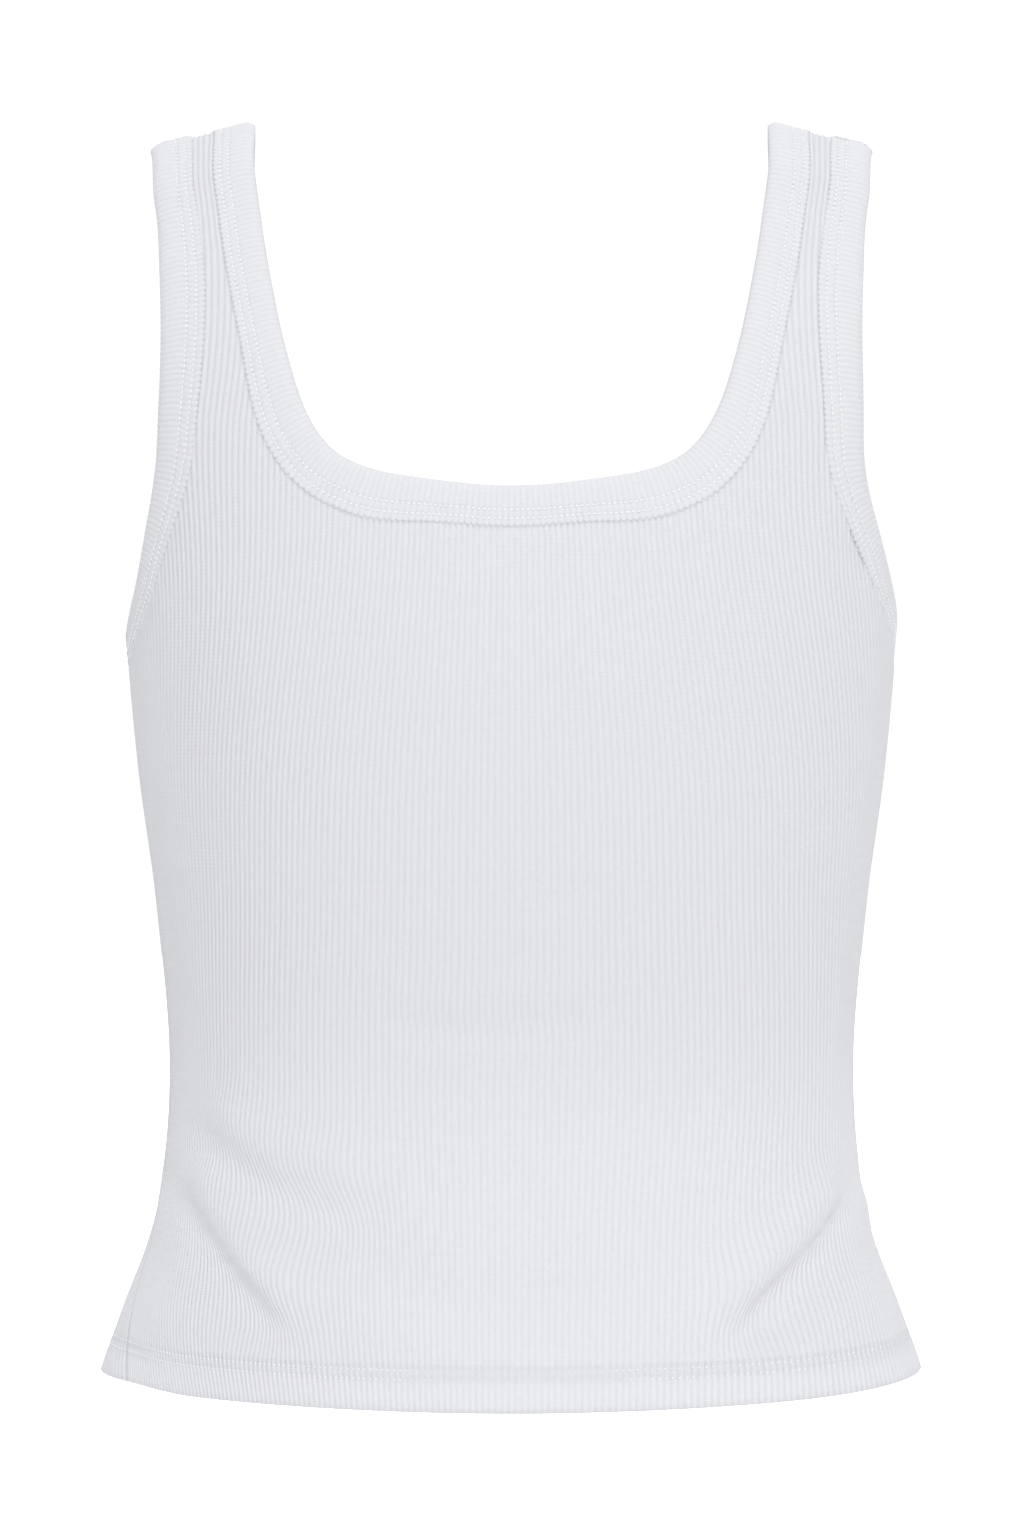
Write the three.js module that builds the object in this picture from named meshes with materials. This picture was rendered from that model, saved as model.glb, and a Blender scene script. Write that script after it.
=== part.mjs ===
import * as THREE from 'three';

// A fitted women's tank top in rib-knit cotton, filled out as if worn, with no wearer inside.
// Millimetres, +Z up, the back faces -Y and the wearer's left is at -X.
// The origin is between the two straps' tops, where the shoulders hold the top up.

// Driving dimensions
const RIDGE_RADIUS = 24;
const STRAP_INNER_X = 99.5;
const SHOULDER_SLOPE = 0.25;
const SLOPE_FADE = 120;
const BODY_LENGTH = 480;
const RIBS_PER_QUARTER = 85;
// The columns, two to a rib and counted from the centre line, that run beside the two bands on the strap
const STRAP = { neck: 96, arm: 104 };
const BAND_WIDTH = 15.6;
const BAND_RIB_PITCH = 2.3;
const BAND_RIBS_PER_INSIDE_POINT = 3;
const HEM_TURN_UP = 16;
const HEM_RISE = 0.5;
const SEAM_GAP = 0.3;

// How far each face of the cloth lies outside the form, measured along its normal
const PANEL_FACE = { crest: 0.25, groove: -0.2, inside: -1.45, hemInside: -2.5 };
const BAND_FACE = { crest: 0.9, groove: 0.55, inside: -2.0 };

// The sections of the form: level, half width at the side seams, how deep it is at the back and at the
// front, how far the ribs are spread at the centre, how far both side seams have swung round to the left,
// and how square the section is, where 2 is an ellipse.
const SECTIONS = [
  { level: 20, halfWidth: 168, back: 24, front: 24, spread: 0.25, swing: 0, power: 2.4 },
  { level: 0, halfWidth: 168, back: 24, front: 24, spread: 0.2, swing: 0, power: 2.4 },
  { level: -30, halfWidth: 167, back: 36, front: 34, spread: 0.1, swing: 0, power: 2.4 },
  { level: -60, halfWidth: 164, back: 53, front: 49, spread: 0.04, swing: 0, power: 2.4 },
  { level: -100, halfWidth: 158, back: 73, front: 69, spread: -0.06, swing: 0, power: 2.4 },
  { level: -145, halfWidth: 151, back: 87, front: 89, spread: -0.13, swing: -0.005, power: 2.4 },
  { level: -200, halfWidth: 147.3, back: 95, front: 107, spread: -0.02, swing: 0.045, power: 2.4 },
  { level: -250, halfWidth: 142.7, back: 93, front: 113, spread: 0.1, swing: 0.06, power: 2.4 },
  { level: -300, halfWidth: 136, back: 85, front: 105, spread: 0.21, swing: 0.06, power: 2.4 },
  { level: -365, halfWidth: 131, back: 76, front: 89, spread: 0.32, swing: 0.06, power: 2.4 },
  { level: -420, halfWidth: 136.5, back: 87, front: 95, spread: 0.16, swing: 0.09, power: 2.3 },
  { level: -455, halfWidth: 148.5, back: 98, front: 101, spread: 0.04, swing: 0.14, power: 2.05 },
  { level: -480, halfWidth: 156.6, back: 105, front: 105, spread: -0.02, swing: 0.2, power: 1.84 },
  { level: -500, halfWidth: 160, back: 108, front: 107, spread: -0.04, swing: 0.24, power: 1.76 },
];

// The finished edges, from the shoulder down. Part is the share of the way from the centre line round to
// the side seam, and down is the distance down the form from the shoulder's ridge.
const NECK_EDGE = {
  back: [
    { part: 0.592, down: 0 },
    { part: 0.5442, down: 39 },
    { part: 0.4937, down: 73 },
    { part: 0.4362, down: 108 },
    { part: 0.3903, down: 130.5 },
    { part: 0.3515, down: 141.8 },
    { part: 0.3162, down: 147.5 },
    { part: 0.2549, down: 152.5 },
    { part: 0.1311, down: 156.6 },
    { part: 0.055, down: 158.25 },
    { part: 0.015, down: 158.57 },
    { part: 0, down: 158.6 },
  ],
  front: [
    { part: 0.592, down: 0 },
    { part: 0.566, down: 39 },
    { part: 0.532, down: 73 },
    { part: 0.492, down: 108 },
    { part: 0.457, down: 132 },
    { part: 0.42, down: 147 },
    { part: 0.377, down: 157.5 },
    { part: 0.3, down: 166.5 },
    { part: 0.155, down: 172.1 },
    { part: 0.06, down: 173.7 },
    { part: 0.015, down: 173.98 },
    { part: 0, down: 174 },
  ],
};
const ARMHOLE_EDGE = {
  back: [
    { part: 0.826, down: 0 },
    { part: 0.7791, down: 27.5 },
    { part: 0.7448, down: 52 },
    { part: 0.7183, down: 79 },
    { part: 0.7049, down: 104.5 },
    { part: 0.7068, down: 128.5 },
    { part: 0.7202, down: 151 },
    { part: 0.7659, down: 173 },
    { part: 0.84, down: 193 },
    { part: 0.92, down: 204 },
    { part: 0.965, down: 206.4 },
    { part: 0.99, down: 206.96 },
    { part: 1, down: 207 },
  ],
  front: [
    { part: 0.826, down: 0 },
    { part: 0.785, down: 27.5 },
    { part: 0.755, down: 52 },
    { part: 0.727, down: 79 },
    { part: 0.706, down: 104.5 },
    { part: 0.7, down: 128.5 },
    { part: 0.708, down: 151 },
    { part: 0.755, down: 173 },
    { part: 0.835, down: 193 },
    { part: 0.92, down: 204 },
    { part: 0.965, down: 206.4 },
    { part: 0.99, down: 206.96 },
    { part: 1, down: 207 },
  ],
};

const QUARTER_TURN = Math.PI / 2;
const RIDGE_LENGTH = RIDGE_RADIUS * QUARTER_TURN;
const HEM_DOWN = BODY_LENGTH - RIDGE_RADIUS + RIDGE_LENGTH;
const OTHER_SIDE = { back: 'front', front: 'back' };

// A smooth curve through four values, between the second and the third
function cubic(before, start, end, after, share, slopes) {
  const s2 = share * share;
  const s3 = s2 * share;
  const startSlope = (end - before) * slopes.start;
  const endSlope = (after - start) * slopes.end;
  return (2 * s3 - 3 * s2 + 1) * start + (s3 - 2 * s2 + share) * startSlope
    + (3 * s2 - 2 * s3) * end + (s3 - s2) * endSlope;
}

const sectionCache = new Map();

function sectionAt(level) {
  if (sectionCache.has(level)) return sectionCache.get(level);
  let i = 1;
  while (i < SECTIONS.length - 3 && level < SECTIONS[i + 1].level) i += 1;
  const [r0, r1, r2, r3] = SECTIONS.slice(i - 1, i + 3);
  const step = r2.level - r1.level;
  const share = (level - r1.level) / step;
  const slopes = { start: step / (r2.level - r0.level), end: step / (r3.level - r1.level) };
  const row = {};
  for (const key of ['halfWidth', 'back', 'front', 'spread', 'swing', 'power']) {
    row[key] = cubic(r0[key], r1[key], r2[key], r3[key], share, slopes);
  }
  sectionCache.set(level, row);
  return row;
}

// A quarter of one ring, from the centre line to the side, with the distance along it
const RING_STEPS = 72;

function quarterRing(halfWidth, depth, power) {
  const points = [];
  let length = 0;
  for (let i = 0; i <= RING_STEPS; i += 1) {
    const angle = (i / RING_STEPS) * QUARTER_TURN;
    const x = halfWidth * Math.sin(angle) ** (2 / power);
    const y = depth * Math.cos(angle) ** (2 / power);
    const last = points[i - 1];
    if (last) length += Math.hypot(x - last.x, y - last.y);
    points.push({ x, y, length });
  }
  return points;
}

function alongRing(ring, share) {
  const target = share * ring[RING_STEPS].length;
  let low = 0;
  let high = RING_STEPS;
  while (high - low > 1) {
    const middle = (low + high) >> 1;
    if (ring[middle].length < target) low = middle;
    else high = middle;
  }
  const t = (target - ring[low].length) / (ring[high].length - ring[low].length);
  return {
    x: ring[low].x + t * (ring[high].x - ring[low].x),
    y: ring[low].y + t * (ring[high].y - ring[low].y),
  };
}

const rowCache = new Map();

function formRow(side, down) {
  const key = side + down;
  if (rowCache.has(key)) return rowCache.get(key);
  const angle = Math.min(down / RIDGE_RADIUS, QUARTER_TURN);
  const level = -RIDGE_RADIUS * (1 - Math.cos(angle)) - Math.max(0, down - RIDGE_LENGTH);
  const section = sectionAt(level);
  const ring = quarterRing(section.halfWidth, section[side] * Math.sin(angle), section.power);
  const row = { level, section, ring };
  rowCache.set(key, row);
  return row;
}

// A point of the form. Hand is -1 on the wearer's left and 1 on the right. A negative down is past the
// shoulder's ridge, on the other side.
function formPoint(side, hand, part, down) {
  if (down < 0) return formPoint(OTHER_SIDE[side], hand, part, -down);
  const row = formRow(side, down);
  const swung = hand * row.section.swing * part * Math.abs(part);
  const turn = part + (side === 'back' ? swung : -swung);
  const around = Math.abs(turn) > 1;
  const seen = around ? OTHER_SIDE[side] : side;
  const ring = around ? formRow(seen, down).ring : row.ring;
  const flat = alongRing(ring, around ? 2 - Math.abs(turn) : Math.abs(turn));
  const fade = Math.max(0, 1 + row.level / SLOPE_FADE);
  const drop = SHOULDER_SLOPE * (flat.x - STRAP_INNER_X) * fade * fade * (3 - 2 * fade);
  const x = hand * Math.sign(turn || 1) * flat.x;
  return new THREE.Vector3(x, seen === 'back' ? -flat.y : flat.y, row.level - drop);
}

const PART_STEP = 0.002;
const DOWN_STEP = 0.3;

// The form's two directions at a point, and the normal that faces out of the garment
function formFrame(side, hand, part, down) {
  const across = formPoint(side, hand, part + PART_STEP, down)
    .sub(formPoint(side, hand, part - PART_STEP, down))
    .divideScalar(2 * PART_STEP);
  const along = formPoint(side, hand, part, down + DOWN_STEP)
    .sub(formPoint(side, hand, part, down - DOWN_STEP))
    .divideScalar(2 * DOWN_STEP);
  const normal = new THREE.Vector3().crossVectors(along, across).normalize();
  const outward = hand * (side === 'back' ? 1 : -1);
  return { across, along, normal: normal.multiplyScalar(outward) };
}

function raisedPoint(side, hand, part, down, height) {
  const { normal } = formFrame(side, hand, part, down);
  return formPoint(side, hand, part, down).addScaledVector(normal, height);
}

// A smooth line through an edge's rows, as places of part and down
const LINE_SCALE = 190;
const EDGE_SAMPLES = 220;

function edgeLine(rows, samples) {
  const spots = rows.map((row) => new THREE.Vector3(row.part * LINE_SCALE, row.down, 0));
  const curve = new THREE.CatmullRomCurve3(spots, false, 'centripetal');
  return curve.getPoints(samples).map((spot) => ({ part: spot.x / LINE_SCALE, down: spot.y }));
}

// The same line moved over the cloth, away from its opening. Toward is 1 where that is away from the
// centre line, and -1 where it is towards it.
function movedLine(side, hand, line, distance, toward) {
  const last = line.length - 1;
  return line.map((place, i) => {
    const before = line[Math.max(0, i - 1)];
    const after = line[Math.min(last, i + 1)];
    const frame = formFrame(side, hand, place.part, place.down);
    const tangent = frame.across.clone().multiplyScalar(after.part - before.part)
      .addScaledVector(frame.along, after.down - before.down);
    const away = new THREE.Vector3().crossVectors(frame.normal, tangent).normalize();
    const aa = frame.across.dot(frame.across);
    const ab = frame.across.dot(frame.along);
    const bb = frame.along.dot(frame.along);
    const da = away.dot(frame.across);
    const db = away.dot(frame.along);
    const scale = distance / (aa * bb - ab * ab);
    const partMove = (da * bb - db * ab) * scale;
    const downMove = (db * aa - da * ab) * scale;
    const sign = Math.sign(toward * partMove * LINE_SCALE + downMove);
    return {
      part: i === last ? place.part : place.part + sign * partMove,
      down: i === 0 ? 0 : place.down + sign * downMove,
    };
  });
}

// Where a line first reaches a value of one of its keys
function onLine(line, key, value, wanted) {
  for (let i = 1; i < line.length; i += 1) {
    const a = line[i - 1][key];
    const b = line[i][key];
    if ((a - value) * (b - value) <= 0 && a !== b) {
      const share = (value - a) / (b - a);
      return line[i - 1][wanted] + share * (line[i][wanted] - line[i - 1][wanted]);
    }
  }
  return undefined;
}

// A closed body made of vertices and triangles
class Body {
  constructor() {
    this.points = [];
    this.faces = [];
  }

  vertex(point) {
    this.points.push(point.x, point.y, point.z);
    return this.points.length / 3 - 1;
  }

  // Joins two chains of { v, key }, in the order of their keys, with one strip of triangles
  zip(left, right) {
    let i = 0;
    let j = 0;
    while (i < left.length - 1 || j < right.length - 1) {
      const nextLeft = i < left.length - 1 ? left[i + 1].key : Infinity;
      const nextRight = j < right.length - 1 ? right[j + 1].key : Infinity;
      if (nextLeft <= nextRight) {
        this.faces.push(left[i].v, left[i + 1].v, right[j].v);
        i += 1;
      } else {
        this.faces.push(left[i].v, right[j + 1].v, right[j].v);
        j += 1;
      }
    }
  }

  volume() {
    const corner = (n) => new THREE.Vector3().fromArray(this.points, 3 * this.faces[n]);
    let sum = 0;
    for (let n = 0; n < this.faces.length; n += 3) {
      sum += corner(n).dot(corner(n + 1).cross(corner(n + 2)));
    }
    return sum / 6;
  }

  mesh(name, material) {
    if (this.volume() < 0) this.faces.reverse();
    const geometry = new THREE.BufferGeometry();
    geometry.setAttribute('position', new THREE.Float32BufferAttribute(this.points, 3));
    geometry.setIndex(this.faces);
    geometry.computeVertexNormals();
    const mesh = new THREE.Mesh(geometry, material);
    mesh.name = name;
    return mesh;
  }
}

// The seam of a band on a panel, as the panel's own cut edge
function panelSeam(edges, side, hand, toward) {
  const line = edgeLine(edges[side], EDGE_SAMPLES);
  return movedLine(side, hand, line, BAND_WIDTH + SEAM_GAP / 2, toward);
}

// The ribs run down the cloth at fixed shares of a quarter. The spread at the centre comes from the
// sections, and on the strap the outer ribs keep beside the seams of the two bands.
const COLUMNS = 2 * RIBS_PER_QUARTER;
const NECK_RIB = STRAP.neck / COLUMNS;
const ARM_RIB = STRAP.arm / COLUMNS;
const RIBS_SETTLED_DOWN = 228;

// The shares of a quarter at which the two seams turn away from the strap's outer ribs
const ARM_SEAM_LEAVES = 0.005;
const NECK_SEAM_LEAVES = 0.056;

// How often the search for a rib is halved
const HALVINGS = 30;

function smoothStep(value) {
  const t = Math.min(1, Math.max(0, value));
  return t * t * (3 - 2 * t);
}

class RibMap {
  constructor(side, hand) {
    this.side = side;
    this.armSeam = panelSeam(ARMHOLE_EDGE, side, hand, -1);
    this.neckSeam = panelSeam(NECK_EDGE, side, hand, 1);
    const innermost = this.armSeam.reduce((a, b) => (b.part < a.part ? b : a));
    const leaving = innermost.part + ARM_SEAM_LEAVES;
    const armJoin = this.armSeam.find((place) => place.down > innermost.down && place.part > leaving);
    const strapWidth = (place) => onLine(this.armSeam, 'down', place.down, 'part') - place.part;
    const narrowest = this.neckSeam
      .filter((place) => place.down < innermost.down)
      .reduce((a, b) => (strapWidth(b) < strapWidth(a) ? b : a));
    const neckJoin = this.neckSeam
      .find((place) => place.down > narrowest.down && strapWidth(place) > NECK_SEAM_LEAVES);
    this.arm = armJoin;
    this.neck = { ...neckJoin, width: strapWidth(neckJoin) };
    this.neckCut = this.neckSeam.filter((place) => place.down >= neckJoin.down).map((p) => this.toRib(p));
    this.armCut = this.armSeam.filter((place) => place.down >= armJoin.down).map((p) => this.toRib(p));
  }

  // How far round the two outer ribs of the strap lie
  strapParts(down, even) {
    const settle = (from) => smoothStep((down - from) / (RIBS_SETTLED_DOWN - from));
    let arm = onLine(this.armSeam, 'down', down, 'part');
    if (down >= this.arm.down) {
      arm = this.arm.part + settle(this.arm.down) * (even(ARM_RIB) - this.arm.part);
    }
    let neck = onLine(this.neckSeam, 'down', down, 'part');
    if (down >= this.neck.down) {
      const settledWidth = even(ARM_RIB) - even(NECK_RIB);
      neck = arm - this.neck.width - settle(this.neck.down) * (settledWidth - this.neck.width);
    }
    return { neck, arm };
  }

  part(rib, down) {
    const { spread } = formRow(this.side, down).section;
    const even = (r) => r + spread * (r - r ** 3);
    const { neck, arm } = this.strapParts(down, even);
    const pitch = (arm - neck) / (ARM_RIB - NECK_RIB);
    const knots = [
      { rib: 0, part: 0, slope: 1 + spread },
      { rib: NECK_RIB, part: neck, slope: pitch },
      { rib: ARM_RIB, part: arm, slope: pitch },
      { rib: 1, part: 1, slope: 1 - 2 * spread },
    ];
    const i = Math.max(1, knots.findIndex((knot) => knot.rib >= rib));
    const [a, b] = [knots[i - 1], knots[i]];
    const step = b.rib - a.rib;
    const t = (rib - a.rib) / step;
    return (2 * t ** 3 - 3 * t ** 2 + 1) * a.part + (t ** 3 - 2 * t ** 2 + t) * a.slope * step
      + (3 * t ** 2 - 2 * t ** 3) * b.part + (t ** 3 - t ** 2) * b.slope * step;
  }

  toRib(place) {
    let low = 0;
    let high = 1;
    for (let i = 0; i < HALVINGS; i += 1) {
      const middle = (low + high) / 2;
      if (this.part(middle, place.down) < place.part) low = middle;
      else high = middle;
    }
    return { rib: (low + high) / 2, down: place.down };
  }

  // How far down a strap column leaves its band's seam, or undefined for any other column
  joinDown(column) {
    if (column === STRAP.neck) return this.neck.down;
    if (column === STRAP.arm) return this.arm.down;
    return undefined;
  }

  // How far down the cloth starts in a column
  top(column) {
    if (column >= STRAP.neck && column <= STRAP.arm) return SEAM_GAP / 2;
    const seam = column < STRAP.neck ? this.neckCut : this.armCut;
    return onLine(seam, 'rib', column / COLUMNS, 'down') ?? seam[seam.length - 1].down;
  }
}

// How far down each ring of points lies, below a column's own top
const RING_DOWNS = [10, 24, 42, 62, 85, 110, 135, 185, 252, 328, 390, 440];
const SIDE_RING = { down: 469, fromColumn: 136 };
const LEAST_STEP = 8;
const LEAST_STEP_SHARE = 0.15;
const STRAP_EDGE_STEP = 8;

// Each panel stops this far short of the side seam, as a share of a quarter of the way round
const SIDE_GAP = 0.2;
const QUARTER_LENGTH = 200;
const SIDE_SEAM_SHIFT = SIDE_GAP / QUARTER_LENGTH;

// How many columns apart the plain inside's own columns are, up to each column
const INSIDE_SPACING = [
  { below: 48, columns: 8 },
  { below: 96, columns: 3 },
  { below: 120, columns: 2 },
  { below: 170, columns: 5 },
];

// A hair added to the inside's keys, so that both panels' side seams are cut into the same triangles
const KEY_SHIFT = 1e-6;

function columnDowns(map, column, hemRows) {
  const top = map.top(column);
  const downs = [top];
  const join = map.joinDown(column);
  if (join !== undefined) {
    for (let down = STRAP_EDGE_STEP; down < join - 1; down += STRAP_EDGE_STEP) downs.push(down);
    downs.push(join);
  }
  const last = HEM_DOWN - hemRows.reach;
  const lowest = downs[downs.length - 1];
  const start = lowest + Math.max(LEAST_STEP, lowest * LEAST_STEP_SHARE);
  const rings = column >= SIDE_RING.fromColumn ? [...RING_DOWNS, SIDE_RING.down] : RING_DOWNS;
  downs.push(...rings.filter((down) => down > start && down < last - LEAST_STEP));
  downs.push(...hemRows.downs, HEM_DOWN);
  return downs;
}

function panel(side, name, material) {
  const body = new Body();
  const maps = { '-1': new RibMap(side, -1), 1: new RibMap(side, 1) };
  const handOf = (index) => (index < 0 ? -1 : 1);
  const makeColumn = (index, heightAt, hemRows) => {
    const hand = handOf(index);
    const map = maps[hand];
    const column = Math.abs(index);
    return columnDowns(map, column, hemRows).map((down) => {
      const share = column === COLUMNS ? 1 - SIDE_SEAM_SHIFT : column / COLUMNS;
      const point = raisedPoint(side, hand, map.part(share, down), down, heightAt(index, down));
      return { v: body.vertex(point), key: down + hemRows.keyShift };
    });
  };
  const ribHeight = (index) => (index % 2 === 0 ? PANEL_FACE.crest : PANEL_FACE.groove);
  const hemStart = HEM_DOWN - HEM_TURN_UP;
  const insideHeight = (index, down) => (down > hemStart ? PANEL_FACE.hemInside : PANEL_FACE.inside);
  const outerRows = { reach: 0, downs: [], keyShift: 0 };
  const hemRise = [hemStart, hemStart + HEM_RISE];
  const innerRows = { reach: HEM_TURN_UP, downs: hemRise, keyShift: KEY_SHIFT };

  const outer = new Map();
  for (let index = -COLUMNS; index <= COLUMNS; index += 1) {
    outer.set(index, makeColumn(index, ribHeight, outerRows));
  }
  const inner = new Map();
  const isInner = (index) => {
    const column = Math.abs(index);
    const corners = [COLUMNS, STRAP.neck, STRAP.arm];
    if (corners.includes(column)) return true;
    if (column > STRAP.neck && column < STRAP.arm) return column === (STRAP.neck + STRAP.arm) / 2;
    const spacing = INSIDE_SPACING.find((zone) => column < zone.below).columns;
    return column % spacing === 0;
  };
  for (let index = -COLUMNS; index <= COLUMNS; index += 1) {
    if (isInner(index)) inner.set(index, makeColumn(index, insideHeight, innerRows));
  }

  const joinAt = (index, chain) => {
    const join = maps[handOf(index)].joinDown(Math.abs(index));
    return chain.findIndex((entry) => Math.abs(entry.key - join) < 2 * KEY_SHIFT);
  };
  // The stretch of a column that is joined to the column at another index
  const facing = (columns, index, neighbour) => {
    const chain = columns.get(index);
    const column = Math.abs(index);
    const beyond = Math.abs(neighbour);
    const pastArm = column === STRAP.arm && beyond > column;
    const pastNeck = column === STRAP.neck && beyond < column;
    return pastArm || pastNeck ? chain.slice(joinAt(index, chain)) : chain;
  };
  const outerKeys = [...outer.keys()];
  const innerKeys = [...inner.keys()];
  for (let i = 1; i < outerKeys.length; i += 1) {
    const [a, b] = [outerKeys[i - 1], outerKeys[i]];
    body.zip(facing(outer, a, b), facing(outer, b, a));
  }
  for (let i = 1; i < innerKeys.length; i += 1) {
    const [a, b] = [innerKeys[i - 1], innerKeys[i]];
    body.zip(facing(inner, b, a), facing(inner, a, b));
  }

  // The rims, one stretch at a time between the corners
  const ends = (columns, from, to, pick) => [...columns.keys()]
    .filter((index) => index >= from && index <= to)
    .map((index) => ({ v: pick(index, columns.get(index)), key: index }));
  const topOf = (index, chain) => chain[0].v;
  const bottomOf = (index, chain) => chain[chain.length - 1].v;
  const joinOrTop = (index, chain) => chain[Math.max(0, joinAt(index, chain))].v;
  body.zip(ends(inner, -COLUMNS, COLUMNS, bottomOf), ends(outer, -COLUMNS, COLUMNS, bottomOf));
  body.zip(inner.get(-COLUMNS), outer.get(-COLUMNS));
  body.zip(outer.get(COLUMNS), inner.get(COLUMNS));
  const rim = (from, to, pick) => body.zip(ends(outer, from, to, pick), ends(inner, from, to, pick));
  rim(-COLUMNS, -STRAP.arm, joinOrTop);
  rim(-STRAP.arm, -STRAP.neck, topOf);
  rim(-STRAP.neck, STRAP.neck, joinOrTop);
  rim(STRAP.neck, STRAP.arm, topOf);
  rim(STRAP.arm, COLUMNS, joinOrTop);
  const strapEdge = (columns, index) => {
    const chain = columns.get(index);
    return chain.slice(0, joinAt(index, chain) + 1);
  };
  const upward = (chain) => chain.map(({ v, key }) => ({ v, key: -key })).reverse();
  for (const index of [STRAP.arm, -STRAP.neck]) {
    body.zip(strapEdge(outer, index), strapEdge(inner, index));
  }
  for (const index of [-STRAP.arm, STRAP.neck]) {
    body.zip(upward(strapEdge(outer, index)), upward(strapEdge(inner, index)));
  }
  return body.mesh(name, material);
}

// A band is a folded strip that runs once round an opening, with its ribs across it
function bandStretch(edges, side, hand, toward, fromShoulder) {
  const free = edgeLine(edges[side], EDGE_SAMPLES);
  const seam = movedLine(side, hand, free, BAND_WIDTH - SEAM_GAP / 2, toward);
  const pairs = free.map((place, i) => ({ side, hand, free: place, seam: seam[i] }));
  return fromShoulder ? pairs : pairs.reverse();
}

function band(name, material, stretches) {
  const body = new Body();
  const pairs = [];
  let length = 0;
  for (const stretch of stretches) {
    stretch.forEach((pair, i) => {
      const middle = formPoint(
        pair.side,
        pair.hand,
        (pair.free.part + pair.seam.part) / 2,
        (pair.free.down + pair.seam.down) / 2,
      );
      if (i) length += middle.distanceTo(pairs[pairs.length - 1].middle);
      pairs.push({ ...pair, middle, length });
    });
  }
  const ribs = Math.round(length / BAND_RIB_PITCH);
  const between = (a, b, share, line) => ({
    part: a[line].part + share * (b[line].part - a[line].part),
    down: a[line].down + share * (b[line].down - a[line].down),
  });
  const placeAt = (distance, line) => {
    let i = 1;
    while (i < pairs.length - 1 && pairs[i].length < distance) i += 1;
    const a = pairs[i - 1];
    const b = pairs[i];
    const share = b.length > a.length ? (distance - a.length) / (b.length - a.length) : 0;
    const place = between(a, b, share, line);
    return { side: b.side, hand: b.hand, ...place };
  };
  const chain = (count, line, heightAt) => {
    const list = [];
    for (let i = 0; i < count; i += 1) {
      const key = (i / count) * length;
      const { side, hand, part, down } = placeAt(key, line);
      list.push({ v: body.vertex(raisedPoint(side, hand, part, down, heightAt(i))), key });
    }
    list.push({ v: list[0].v, key: length });
    return list;
  };
  const ribHeight = (i) => (i % 2 === 0 ? BAND_FACE.crest : BAND_FACE.groove);
  const insideHeight = () => BAND_FACE.inside;
  const insideCount = Math.round(ribs / BAND_RIBS_PER_INSIDE_POINT);
  const freeOuter = chain(2 * ribs, 'free', ribHeight);
  const seamOuter = chain(insideCount, 'seam', () => BAND_FACE.crest);
  const freeInner = chain(insideCount, 'free', insideHeight);
  const seamInner = chain(insideCount, 'seam', insideHeight);
  body.zip(freeOuter, seamOuter);
  body.zip(seamOuter, seamInner);
  body.zip(seamInner, freeInner);
  body.zip(freeInner, freeOuter);
  return body.mesh(name, material);
}

function neckBand(name, material) {
  return band(name, material, [
    bandStretch(NECK_EDGE, 'back', 1, 1, false),
    bandStretch(NECK_EDGE, 'front', 1, 1, true),
    bandStretch(NECK_EDGE, 'front', -1, 1, false),
    bandStretch(NECK_EDGE, 'back', -1, 1, true),
  ]);
}

function armholeBand(name, material, hand) {
  return band(name, material, [
    bandStretch(ARMHOLE_EDGE, 'back', hand, -1, false),
    bandStretch(ARMHOLE_EDGE, 'front', hand, -1, true),
  ]);
}

const clothMaterial = new THREE.MeshStandardMaterial({ color: 0xf1f2f6, roughness: 0.9, metalness: 0 });
const bandMaterial = new THREE.MeshStandardMaterial({ color: 0xf5f6fa, roughness: 0.88, metalness: 0 });

const tankTop = new THREE.Group();
tankTop.name = 'tank_top';
tankTop.add(panel('back', 'back_panel', clothMaterial));
tankTop.add(panel('front', 'front_panel', clothMaterial));
tankTop.add(neckBand('neck_band', bandMaterial));
tankTop.add(armholeBand('armhole_band_left', bandMaterial, -1));
tankTop.add(armholeBand('armhole_band_right', bandMaterial, 1));

export default tankTop;
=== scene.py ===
"""A rib-knit tank top in its worn form: two ribbed panels, folded bindings and their needle rows."""

import math

import bmesh
import bpy
import numpy as np
from mathutils import Matrix, Vector
from mathutils.kdtree import KDTree


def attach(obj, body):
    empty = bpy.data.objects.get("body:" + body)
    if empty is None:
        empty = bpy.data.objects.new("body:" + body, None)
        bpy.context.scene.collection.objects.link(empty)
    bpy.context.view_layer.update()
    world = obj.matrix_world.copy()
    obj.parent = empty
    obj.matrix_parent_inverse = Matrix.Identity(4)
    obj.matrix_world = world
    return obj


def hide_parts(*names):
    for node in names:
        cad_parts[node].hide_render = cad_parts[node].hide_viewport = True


bl_info = {
    "name": "Rib-knit tank top",
    "version": (1, 0, 0),
    "blender": (4, 5, 0),
    "location": "3D View > Sidebar > Tank top",
    "description": "Makes a ribbed tank top, its bindings and its stitching",
    "category": "Object",
}

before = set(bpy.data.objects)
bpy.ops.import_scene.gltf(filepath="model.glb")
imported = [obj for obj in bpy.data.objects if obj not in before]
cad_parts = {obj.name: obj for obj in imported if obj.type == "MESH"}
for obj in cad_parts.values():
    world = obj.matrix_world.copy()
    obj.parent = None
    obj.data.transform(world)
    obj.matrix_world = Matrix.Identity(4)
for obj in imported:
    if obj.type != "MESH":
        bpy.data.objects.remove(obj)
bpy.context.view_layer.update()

MM = 0.001
BACK, FRONT = 0, 1
LEFT, RIGHT = -1, 1

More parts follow.
